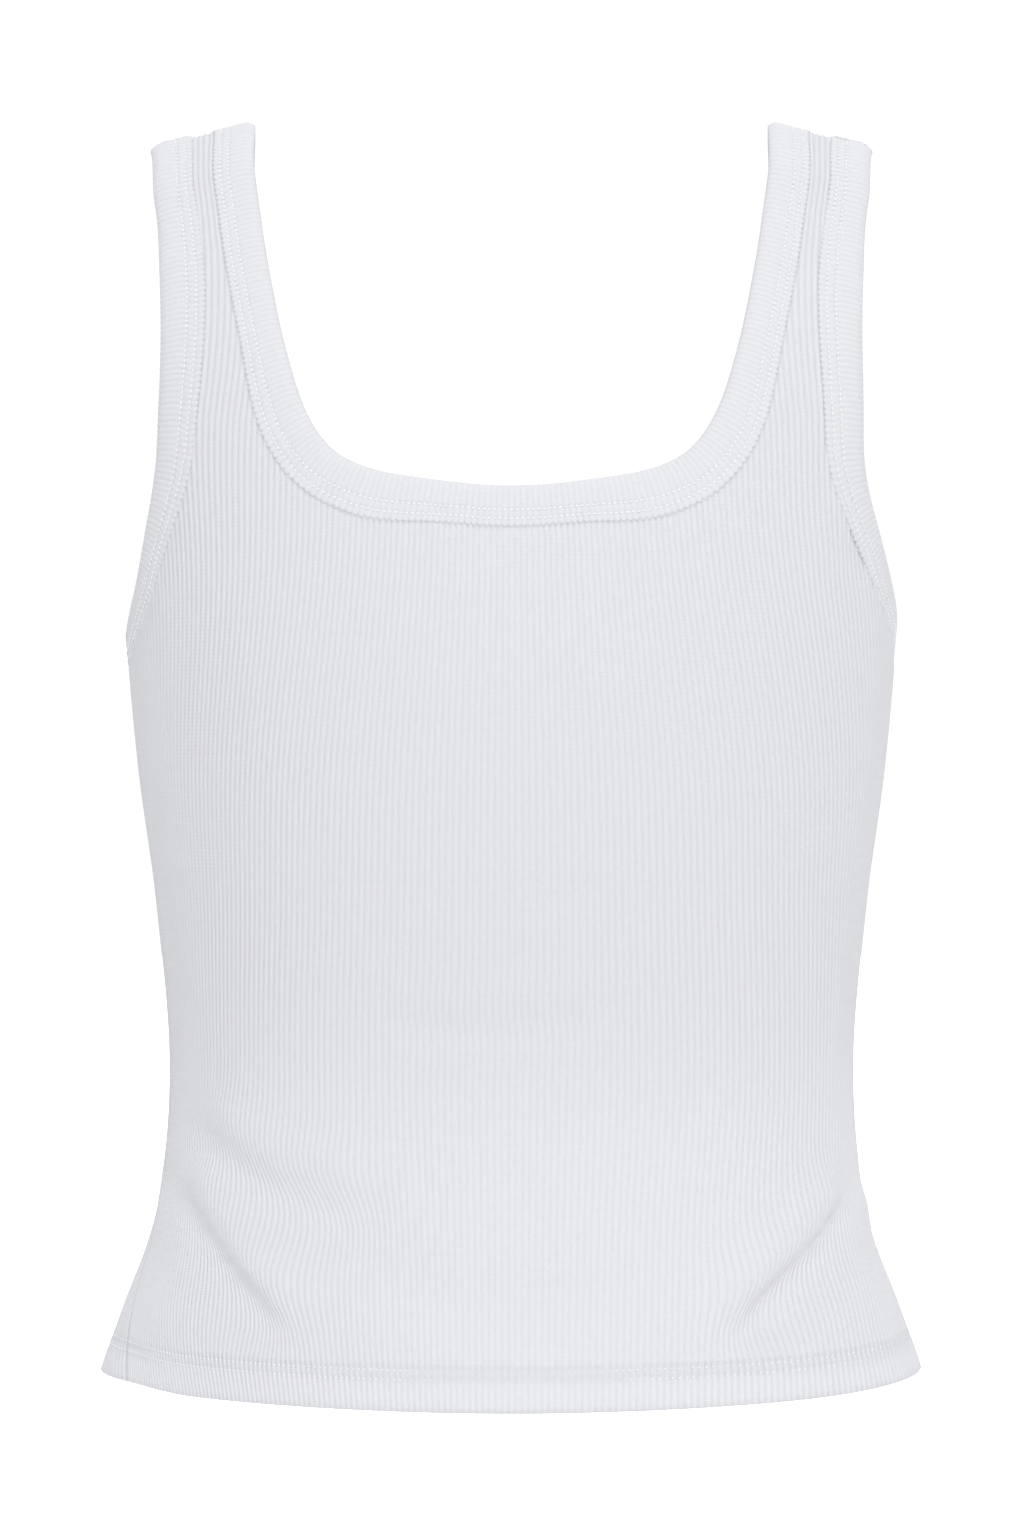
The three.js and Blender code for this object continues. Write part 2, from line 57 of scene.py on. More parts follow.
# The form, in millimetres
RIDGE_RADIUS = 24.0
STRAP_INNER_X = 99.5
SHOULDER_SLOPE = 0.25
SLOPE_FADE = 120.0
BODY_LENGTH = 480.0
RIDGE_LENGTH = RIDGE_RADIUS * math.pi / 2
HEM_DOWN = BODY_LENGTH - RIDGE_RADIUS + RIDGE_LENGTH
BAND_WIDTH = 15.6
RIBS_PER_QUARTER = 85
NECK_RIB = 101 / 170
ARM_RIB = 109 / 170
RIBS_SETTLED_DOWN = 228.0
ARM_SEAM_LEAVES = 0.005
NECK_SEAM_LEAVES = 0.056
LINE_SCALE = 190.0
EDGE_SAMPLES = 220

# Level, half width, depth at the back, depth at the front, spread of the ribs, swing of the side seams,
# and squareness of the section, where 2 is an ellipse
SECTIONS = np.array((
    (20, 168, 24, 24, 0.25, 0, 2.4),
    (0, 168, 24, 24, 0.2, 0, 2.4),
    (-30, 167, 36, 34, 0.1, 0, 2.4),
    (-60, 164, 53, 49, 0.04, 0, 2.4),
    (-100, 158, 73, 69, -0.06, 0, 2.4),
    (-145, 151, 87, 89, -0.09, -0.005, 2.4),
    (-200, 147.3, 95, 107, -0.02, 0.045, 2.4),
    (-250, 142.7, 93, 113, 0.1, 0.06, 2.4),
    (-300, 136, 85, 105, 0.21, 0.06, 2.4),
    (-365, 131, 76, 89, 0.32, 0.06, 2.4),
    (-420, 136.5, 87, 95, 0.16, 0.09, 2.3),
    (-455, 149.1, 98, 101, 0.04, 0.14, 2.05),
    (-480, 157.8, 105, 105, -0.02, 0.2, 1.84),
    (-500, 161.4, 108, 107, -0.04, 0.24, 1.76),
), dtype=float)
HALF_WIDTH, DEPTH, SPREAD, SWING, POWER = 0, (1, 2), 3, 4, 5

# The finished edges from the shoulder down: share of the way round to the side seam, distance down
NECK_EDGE = (
    ((0.592, 0), (0.5442, 39), (0.4937, 73), (0.4362, 108), (0.3903, 130.5), (0.3515, 141.8),
     (0.3162, 147.5), (0.2549, 152.5), (0.1311, 156.6), (0.055, 158.25), (0.015, 158.57), (0, 158.6)),
    ((0.592, 0), (0.566, 39), (0.532, 73), (0.492, 108), (0.457, 132), (0.42, 147),
     (0.377, 157.5), (0.3, 166.5), (0.155, 172.1), (0.06, 173.7), (0.015, 173.98), (0, 174)),
)
ARMHOLE_EDGE = (
    ((0.826, 0), (0.8166, 8), (0.7965, 19), (0.7813, 27.5), (0.7448, 52), (0.7183, 79), (0.7049, 104.5), (0.7068, 128.5),
     (0.7202, 151), (0.7659, 173), (0.84, 193), (0.92, 204), (0.965, 206.4), (0.99, 206.96), (1, 207)),
    ((0.826, 0), (0.785, 27.5), (0.755, 52), (0.727, 79), (0.706, 104.5), (0.7, 128.5),
     (0.708, 151), (0.755, 173), (0.835, 193), (0.92, 204), (0.965, 206.4), (0.99, 206.96), (1, 207)),
)

# How the panels are divided: points to a rib, and the rows as (down to, how many)
POINTS_PER_RIB = 4
PANEL_ROWS = ((40.0, 12), (300.0, 31), (HEM_DOWN - 16.0, 34))
HEM_ROWS_UP = (14.9, 13.9, 12.9, 12.25, 11.6, 10.6, 9.6, 7.5, 4.5, 1.8, 0)
PANEL_TUCK = 8.5
PANEL_TOP = 0.15
TURN_UP = 16.0
# How far the hem is drawn up at the left and the right side seam, and the share round where this begins
HEM_LIFT = (1.5, 0.72), (2.5, 0.5)
TURN_UP_ROWS = 4
FOLD_ROWS = 3

# The band's cross section, from its sewn edge round the free edge to its inside:
# distance from the free edge, and height above the form
BAND_SECTION = (
    (15.9, -0.9), (15.8, 0.5), (15.2, 0.68), (14.2, 0.68), (13.6, 0.58), (13.1, 0.38), (12.6, 0.58),
    (12.0, 0.7), (10.95, 0.74), (10.3, 0.62), (9.8, 0.4), (9.3, 0.62), (8.5, 0.76), (6.2, 0.82), (4.0, 0.82),
    (2.2, 0.78), (0.9, 0.6), (-0.05, 0.12), (-0.35, -0.6), (-0.1, -1.2), (0.8, -1.7), (3.2, -1.9),
    (9.0, -1.95), (15.3, -1.9),
)
# How much wider the bands lie where they turn: by how much, and the distances down where this
# begins, is full, starts to ebb and ends
NECK_WIDENING = (0.18, 95, 140, 250, 260)
ARM_WIDENING = (0.17, 35, 85, 145, 185)
STITCH_HEIGHT = 0.62
NECK_REACH, ARM_REACH = 0.45, -0.3
NEEDLE_ROWS = (13.1, 9.8)
HEM_NEEDLE_ROWS = (10.6, 13.9)
BAND_RIB_PITCH = 2.2
RIB_BEND = 1.6


# ---------------------------------------------------------------------------------------------------------
# The form that the cloth follows
# ---------------------------------------------------------------------------------------------------------

def section_values(level):
    """The form's section values at each level, on a smooth curve through the given ones."""
    levels = SECTIONS[:, 0]
    i = np.clip(np.searchsorted(-levels, -level, side="left") - 1, 1, len(levels) - 3)
    r0, r1, r2, r3 = (SECTIONS[i + k, 1:] for k in (-1, 0, 1, 2))
    z0, z1, z2, z3 = (levels[i + k] for k in (-1, 0, 1, 2))
    step = z2 - z1
    t = ((level - z1) / step)[:, None]
    start = (r2 - r0) * (step / (z2 - z0))[:, None]
    end = (r3 - r1) * (step / (z3 - z1))[:, None]
    return ((2 * t**3 - 3 * t**2 + 1) * r1 + (t**3 - 2 * t**2 + t) * start
            + (3 * t**2 - 2 * t**3) * r2 + (t**3 - t**2) * end)


class Form:
    """The worn form as tables, with points and normals at a side, a hand, a share round and a distance down."""

    DOWN_STEP = 1.0
    SHARES = 480
    RING_STEPS = 600

    def __init__(self):
        downs = np.arange(0, HEM_DOWN + 12, self.DOWN_STEP)
        angle = np.minimum(downs / RIDGE_RADIUS, math.pi / 2)
        self.level = -RIDGE_RADIUS * (1 - np.cos(angle)) - np.maximum(0, downs - RIDGE_LENGTH)
        values = section_values(self.level)
        self.spread = values[:, SPREAD]
        self.swing = values[:, SWING]
        self.depth = values[:, DEPTH[0]], values[:, DEPTH[1]]
        turn = np.linspace(0, math.pi / 2, self.RING_STEPS + 1)
        sines, cosines = np.sin(turn), np.clip(np.cos(turn), 0, 1)
        shares = np.linspace(0, 1, self.SHARES + 1)
        self.xy = np.zeros((2, len(downs), self.SHARES + 1, 2))
        for side in (BACK, FRONT):
            for row, (value, sine) in enumerate(zip(values, np.sin(angle))):
                x = value[HALF_WIDTH] * sines ** (2 / value[POWER])
                y = value[DEPTH[side]] * sine * cosines ** (2 / value[POWER])
                length = np.concatenate(([0], np.cumsum(np.hypot(np.diff(x), np.diff(y)))))
                self.xy[side, row, :, 0] = np.interp(shares * length[-1], length, x)
                self.xy[side, row, :, 1] = np.interp(shares * length[-1], length, y)

    def point(self, side, hand, part, down):
        side, hand, part, down = np.broadcast_arrays(side, hand, part, down)
        side = np.where(down < 0, 1 - side, side)
        at = np.clip(np.abs(down) / self.DOWN_STEP, 0, len(self.level) - 1.001)
        row = at.astype(int)
        t = at - row
        level = self.level[row] * (1 - t) + self.level[row + 1] * t
        swing = self.swing[row] * (1 - t) + self.swing[row + 1] * t
        swung = hand * swing * part * np.abs(part)
        turn = part + np.where(side == BACK, swung, -swung)
        round_the_side = np.abs(turn) > 1
        seen = np.where(round_the_side, 1 - side, side)
        share = np.where(round_the_side, 2 - np.abs(turn), np.abs(turn)) * self.SHARES
        column = np.clip(share.astype(int), 0, self.SHARES - 1)
        s = (share - column)[..., None]
        t = t[..., None]
        flat = ((self.xy[seen, row, column] * (1 - s) + self.xy[seen, row, column + 1] * s) * (1 - t)
                + (self.xy[seen, row + 1, column] * (1 - s) + self.xy[seen, row + 1, column + 1] * s) * t)
        fade = np.maximum(0, 1 + level / SLOPE_FADE)
        drop = SHOULDER_SLOPE * (flat[..., 0] - STRAP_INNER_X) * fade * fade * (3 - 2 * fade)
        x = hand * np.where(turn < 0, -1, 1) * flat[..., 0]
        y = np.where(seen == BACK, -flat[..., 1], flat[..., 1])
        return np.stack((x, y, level - drop), axis=-1)

    def directions(self, side, hand, part, down, part_step=0.004, down_step=1.0):
        across = (self.point(side, hand, part + part_step, down)
                  - self.point(side, hand, part - part_step, down)) / (2 * part_step)
        along = (self.point(side, hand, part, down + down_step)
                 - self.point(side, hand, part, down - down_step)) / (2 * down_step)
        normal = np.cross(along, across)
        normal /= np.maximum(np.linalg.norm(normal, axis=-1, keepdims=True), 1e-9)
        outward = np.broadcast_to(hand * np.where(np.asarray(side) == BACK, 1, -1), normal.shape[:-1])
        return across, along, normal * outward[..., None]

    def raised(self, side, hand, part, down, height):
        normal = self.directions(side, hand, part, down)[2]
        return self.point(side, hand, part, down) + normal * np.asarray(height)[..., None]


FORM = Form()


def edge_line(rows):
    """A finished edge as an array of (share round, down), on a centripetal curve through its rows."""
    spots = np.array([(part * LINE_SCALE, down) for part, down in rows], dtype=float)
    spots = np.vstack((2 * spots[0] - spots[1], spots, 2 * spots[-1] - spots[-2]))
    at = np.linspace(0, len(rows) - 1, EDGE_SAMPLES + 1)
    i = np.minimum(at.astype(int), len(rows) - 2)
    t = (at - i)[:, None]
    p0, p1, p2, p3 = (spots[i + k] for k in range(4))
    d0, d1, d2 = (np.linalg.norm(b - a, axis=1, keepdims=True) ** 0.5 for a, b in ((p0, p1), (p1, p2), (p2, p3)))
    start = ((p1 - p0) / d0 - (p2 - p0) / (d0 + d1) + (p2 - p1) / d1) * d1
    end = ((p2 - p1) / d1 - (p3 - p1) / (d1 + d2) + (p3 - p2) / d2) * d1
    line = (p1 + start * t + (3 * (p2 - p1) - 2 * start - end) * t**2 + (2 * (p1 - p2) + start + end) * t**3)
    return line / (LINE_SCALE, 1)


def moved_line(side, hand, line, distance, toward):
    """The line moved over the cloth, away from its opening."""
    part, down = line[:, 0], line[:, 1]
    across, along, normal = FORM.directions(side, hand, part, down)
    step = np.empty_like(line)
    step[1:-1] = line[2:] - line[:-2]
    step[0] = line[1] - line[0]
    step[-1] = line[-1] - line[-2]
    tangent = across * step[:, :1] + along * step[:, 1:]
    away = np.cross(normal, tangent)
    away /= np.linalg.norm(away, axis=1, keepdims=True)
    aa, ab, bb = ((p * q).sum(1) for p, q in ((across, across), (across, along), (along, along)))
    da, db = (away * across).sum(1), (away * along).sum(1)
    scale = distance / (aa * bb - ab * ab)
    move = np.stack(((da * bb - db * ab) * scale, (db * aa - da * ab) * scale), axis=1)
    sign = np.sign(toward * move[:, 0] * LINE_SCALE + move[:, 1])
    moved = line + move * sign[:, None]
    moved[0, 1] = 0
    moved[-1, 0] = line[-1, 0]
    return moved


def smooth_step(value, low=0.0, high=1.0):
    t = np.clip((np.asarray(value, dtype=float) - low) / (high - low), 0, 1)
    return t * t * (3 - 2 * t)


class RibMap:
    """Where the ribs of a quarter of the body run, from the centre line at 0 to the side seam at 1."""

    def __init__(self, side, hand):
        self.side, self.hand = side, hand
        distance = BAND_WIDTH + 0.15
        self.neck_free, self.arm_free = edge_line(NECK_EDGE[side]), edge_line(ARMHOLE_EDGE[side])
        self.arm_seam = moved_line(side, hand, self.arm_free, distance, -1)
        self.neck_seam = moved_line(side, hand, self.neck_free, distance, 1)
        innermost = self.arm_seam[np.argmin(self.arm_seam[:, 0])]
        past = (self.arm_seam[:, 1] > innermost[1]) & (self.arm_seam[:, 0] > innermost[0] + ARM_SEAM_LEAVES)
        self.arm_join = self.arm_seam[np.argmax(past)]
        width = np.interp(self.neck_seam[:, 1], self.arm_seam[:, 1], self.arm_seam[:, 0]) - self.neck_seam[:, 0]
        above = np.where(self.neck_seam[:, 1] < innermost[1], width, np.inf)
        narrowest = self.neck_seam[np.argmin(above)]
        past = (self.neck_seam[:, 1] > narrowest[1]) & (width > NECK_SEAM_LEAVES)
        self.neck_join = self.neck_seam[np.argmax(past)]
        self.neck_width = width[np.argmax(past)]

    def part(self, rib, down):
        """How far round each rib lies at each distance down."""
        spread = np.interp(down, np.arange(len(FORM.spread)) * FORM.DOWN_STEP, FORM.spread)
        even_arm = ARM_RIB + spread * (ARM_RIB - ARM_RIB**3)
        even_neck = NECK_RIB + spread * (NECK_RIB - NECK_RIB**3)
        settle = smooth_step(down, self.arm_join[1], RIBS_SETTLED_DOWN)
        arm = np.where(down >= self.arm_join[1],
                       self.arm_join[0] + settle * (even_arm - self.arm_join[0]),
                       np.interp(down, self.arm_seam[:, 1], self.arm_seam[:, 0]))
        settle = smooth_step(down, self.neck_join[1], RIBS_SETTLED_DOWN)
        width = self.neck_width + settle * (even_arm - even_neck - self.neck_width)
        neck = np.where(down >= self.neck_join[1], arm - width,
                        np.interp(down, self.neck_seam[:, 1], self.neck_seam[:, 0]))
        pitch = (arm - neck) / (ARM_RIB - NECK_RIB)
        result = np.zeros_like(rib)
        spans = (
            (0, NECK_RIB, 0 * neck, neck, 1 + spread, pitch),
            (NECK_RIB, ARM_RIB, neck, arm, pitch, pitch),
            (ARM_RIB, 1, arm, 0 * arm + 1, pitch, 1 - 2 * spread),
        )
        for low, high, start, end, slope_in, slope_out in spans:
            inside = (rib >= low) & (rib <= high)
            t = (rib - low) / (high - low)
            value = ((2 * t**3 - 3 * t**2 + 1) * start + (t**3 - 2 * t**2 + t) * slope_in * (high - low)
                     + (3 * t**2 - 2 * t**3) * end + (t**3 - t**2) * slope_out * (high - low))
            result = np.where(inside, value, result)
        return result


# ---------------------------------------------------------------------------------------------------------
# Making cloth
# ---------------------------------------------------------------------------------------------------------

def rib_groove(phase, narrow=2.2):
    """How deep the groove beside a rib is, from 0 on the crest at whole phases to 1 at half phases."""
    return (0.5 - 0.5 * np.cos(2 * math.pi * phase)) ** narrow


def flat_cloth(across, along):
    """A flat grid with its own UV map, as a bmesh."""
    made = bmesh.new()
    made.loops.layers.uv.new("cloth")
    bmesh.ops.create_grid(made, x_segments=across, y_segments=along, size=1, calc_uvs=True)
    return made


def places_of(mesh):
    places = np.empty(len(mesh.vertices) * 3)
    mesh.vertices.foreach_get("co", places)
    return places.reshape(-1, 3)


def set_places(mesh, places):
    mesh.vertices.foreach_set("co", np.ascontiguousarray(places, dtype=np.float32).ravel())
    mesh.update()


def scale_uv(mesh, width, height, low_u=0.0, low_v=0.0):
    layer = mesh.uv_layers["cloth"].data
    uv = np.empty(len(layer) * 2)
    layer.foreach_get("uv", uv)
    uv = uv.reshape(-1, 2) * (width, height) + (low_u, low_v)
    layer.foreach_set("uv", uv.ravel())


def set_shade(mesh, shade):
    """Keeps each point's painted shade for the material: positive values darken the colour, negative ones paint light
    onto it.
    """
    mesh.attributes.new("shade", "FLOAT", "POINT").data.foreach_set("value", np.clip(shade, -1, 1).astype(np.float32))


def new_piece(name, mesh, material):
    piece = bpy.data.objects.new(name, mesh)
    bpy.context.scene.collection.objects.link(piece)
    mesh.materials.clear()
    mesh.materials.append(material)
    mesh.polygons.foreach_set("use_smooth", [True] * len(mesh.polygons))
    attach(piece, "root")
    return piece


def thicken(piece, thickness):
    """Gives the cloth its thickness on its inner side, and closes its rim."""
    wall = piece.modifiers.new("cloth_thickness", "SOLIDIFY")
    wall.thickness = thickness
    wall.offset = -1
    wall.use_rim = True
    return wall


def faces_outwards(mesh, centre=(0, 0, -0.2)):
    """True if most faces of an open sheet look away from the garment's middle."""
    centres = np.empty(len(mesh.polygons) * 3)
    normals = np.empty(len(mesh.polygons) * 3)
    mesh.polygons.foreach_get("center", centres)
    mesh.polygons.foreach_get("normal", normals)
    away = centres.reshape(-1, 3) - centre
    away[:, 2] = 0
    return (away * normals.reshape(-1, 3)).sum() > 0


def flipped(mesh):
    made = bmesh.new()
    made.from_mesh(mesh)
    bmesh.ops.reverse_faces(made, faces=made.faces[:])
    made.to_mesh(mesh)
    made.free()


# Creases as (points in x and z on the wall, depth, half width, swell beside it, drag of the ribs), in mm
BACK_CREASES = (
    (((-126, -374), (-110, -389), (-87, -402), (-62, -407), (-36, -409)), 1.5, 7.0, 0.7, 4.0),
    (((-131, -396), (-117, -417), (-102, -434), (-88, -448), (-72, -462)), 1.3, 6.5, 0.7, 6.5),
    (((134, -397), (125, -412), (112, -426), (98, -437), (84, -449), (68, -460)), 1.9, 6.0, 1.1, 5.5),
    (((-56, -340), (-20, -344), (20, -342), (50, -337)), 1.0, 5.0, 0.4, 0.5),
    (((137, -146), (130, -164), (125, -185)), 0.8, 7.0, 0.5, 0.5),
    (((-60, -428), (-20, -444), (25, -446), (60, -436)), 1.2, 12.0, 0.7, 0.0),
)
FRONT_CREASES = (
    (((-128, -384), (-108, -398), (-82, -410), (-50, -416)), 1.8, 8.0, 0.6, 2.5),
    (((-128, -410), (-114, -428), (-96, -446), (-74, -458)), 2.0, 8.0, 0.7, 3.0),
    (((128, -392), (112, -408), (92, -424), (66, -434)), 2.0, 8.0, 0.7, 3.0),
    (((-55, -348), (-15, -353), (35, -350)), 0.8, 7.0, 0.3, 0.5),
)


def crease_moves(x, z, creases):
    """How far soft creases push the cloth in or out, and drag its ribs towards +X, at each place."""
    height, drag = np.zeros_like(x), np.zeros_like(x)
    for points, depth, width, swell, pull in creases:
        line = np.array(points, dtype=float)
        best = np.full(x.shape, np.inf)
        side_of = np.zeros_like(x)
        along = np.zeros_like(x)
        lengths = np.concatenate(([0], np.cumsum(np.hypot(*np.diff(line, axis=0).T))))
        for k, (a, b) in enumerate(zip(line[:-1], line[1:])):
            ab = b - a
            t = np.clip(((x - a[0]) * ab[0] + (z - a[1]) * ab[1]) / (ab @ ab), 0, 1)
            dx, dz = x - a[0] - t * ab[0], z - a[1] - t * ab[1]
            distance = np.hypot(dx, dz)
            nearer = distance < best
            best = np.where(nearer, distance, best)
            side_of = np.where(nearer, np.sign(ab[0] * dz - ab[1] * dx), side_of)
            along = np.where(nearer, lengths[k] + t * (lengths[k + 1] - lengths[k]), along)
        fade = smooth_step(along / lengths[-1], 0, 0.2) * (1 - smooth_step(along / lengths[-1], 0.65, 1))
        trough = np.exp(-(best / width) ** 2)
        ridge = np.exp(-((best - 1.7 * width) / width) ** 2)
        height += fade * (swell * ridge - depth * trough)
        share = best / (1.6 * width)
        drag -= fade * pull * side_of * share * np.exp(0.5 - 0.5 * share**2)
    return height, drag


def band_centres(bands):
    """A search tree of points along the middle of the given bands."""
    points = np.concatenate([band.middles() for band in bands])
    tree = KDTree(len(points))
    for i, point in enumerate(points):
        tree.insert(Vector(point), i)
    tree.balance()
    return tree


def pressed_by_bands(points, tree):
    """1 where a band covers the panel, fading to 0 a little way past its edge."""
    distance = np.array([tree.find(Vector(point))[2] for point in points])
    return 1 - smooth_step(distance, BAND_WIDTH / 2 - 0.4, BAND_WIDTH / 2 + 1.2)


class Band:
    """A folded strip round an opening, as paths on the form."""

    def __init__(self, edges, stretches, toward, widening):
        self.widening = widening
        columns = {key: [] for key in ("side", "hand", "free", "seam")}
        for side, hand, from_shoulder in stretches:
            free = edge_line(edges[side])
            seam = moved_line(side, hand, free, BAND_WIDTH, toward)
            if not from_shoulder:
                free, seam = free[::-1], seam[::-1]
            columns["side"].append(np.full(len(free), side))
            columns["hand"].append(np.full(len(free), hand))
            columns["free"].append(free)
            columns["seam"].append(seam)
        self.side, self.hand = (np.concatenate(columns[key]) for key in ("side", "hand"))
        self.free, self.seam = (np.concatenate(columns[key]) for key in ("free", "seam"))
        middle = (self.free + self.seam) / 2
        points = FORM.point(self.side, self.hand, middle[:, 0], middle[:, 1])
        steps = np.linalg.norm(np.diff(points, axis=0), axis=1)
        self.lengths = np.concatenate(([0], np.cumsum(steps)))
        self.length = self.lengths[-1]
        self.ribs = round(self.length / BAND_RIB_PITCH)

    def place(self, share, inward):
        """Side, hand, share round and down at a share of the loop's length and a distance from the free edge."""
        target = np.mod(share, 1) * self.length
        i = np.clip(np.searchsorted(self.lengths, target, side="left"), 1, len(self.lengths) - 1)
        gap = self.lengths[i] - self.lengths[i - 1]
        t = np.where(gap > 0, (target - self.lengths[i - 1]) / np.maximum(gap, 1e-9), 1)[..., None]
        free = self.free[i - 1] * (1 - t) + self.free[i] * t
        seam = self.seam[i - 1] * (1 - t) + self.seam[i] * t
        extra, begin, full, ebb, end = self.widening
        part, down = (free[..., 0] + seam[..., 0]) / 2, (free[..., 1] + seam[..., 1]) / 2
        wider = 1 + extra * smooth_step(down, begin, full) * (1 - smooth_step(down, ebb, end)) * smooth_step(part, 0.08, 0.27)
        spot = free + (seam - free) * (np.asarray(inward) * wider / BAND_WIDTH)[..., None]
        return self.side[i], self.hand[i], spot[..., 0], spot[..., 1]

    def raised(self, share, inward, height):
        side, hand, part, down = self.place(share, inward)
        return FORM.raised(side, hand, part, down, height)

    def middles(self):
        shares = np.linspace(0, 1, int(self.length / 1.0), endpoint=False)
        side, hand, part, down = self.place(shares, np.full(shares.shape, BAND_WIDTH / 2))
        return FORM.point(side, hand, part, down)


def sunk(down):
    """How much flatter the bands lie under the arms."""
    return 0.8 * smooth_step(down, 170, 200)


def droop(inward):
    """How far the free edge of a band rolls in."""
    return -0.8 * np.exp(-(inward / 1.7) ** 2)


NECK = Band(NECK_EDGE, ((BACK, RIGHT, False), (FRONT, RIGHT, True), (FRONT, LEFT, False), (BACK, LEFT, True)),
            1, NECK_WIDENING)
ARMHOLES = {
    hand: Band(ARMHOLE_EDGE, ((BACK, hand, False), (FRONT, hand, True)), -1, ARM_WIDENING)
    for hand in (LEFT, RIGHT)
}


def row_downs():
    """The distances down of the panel's rows, finer over the shoulder and where the cloth creases."""
    downs = [PANEL_TOP]
    for end, count in PANEL_ROWS:
        downs.extend(np.linspace(downs[-1], end, count + 1)[1:])
    downs.extend(HEM_DOWN - up for up in HEM_ROWS_UP)
    return np.array(downs)


def panel_rows():
    """Down and wall depth of each row: the outside, the hem's fold, then the turned-up layer inside."""
    downs = row_downs()
    turn = np.linspace(0, math.pi, FOLD_ROWS + 2)[1:-1]
    fold_radius = 1.15
    fold = [(HEM_DOWN + fold_radius * math.sin(a) * 0.6, -fold_radius * (1 - math.cos(a))) for a in turn]
    inside = [(down, -2 * fold_radius) for down in np.linspace(HEM_DOWN, HEM_DOWN - TURN_UP, TURN_UP_ROWS)]
    outside = [(down, 0.0) for down in downs]
    return np.array(outside + fold + inside)


def hem_lift(hand, part, down):
    """How far the cloth is drawn up near the hem's two side seams."""
    most, begin = (np.where(hand == LEFT, left, right) for left, right in zip(*HEM_LIFT))
    return most * smooth_step(down, 400, HEM_DOWN) * smooth_step(np.abs(part), begin, 1)


def hem_dimple(down):
    """The two shallow furrows that the hem's needle rows pull in."""
    up = HEM_DOWN - down
    rows = sum(np.exp(-((up - row) / 0.7) ** 2) for row in HEM_NEEDLE_ROWS)
    return -0.3 * rows


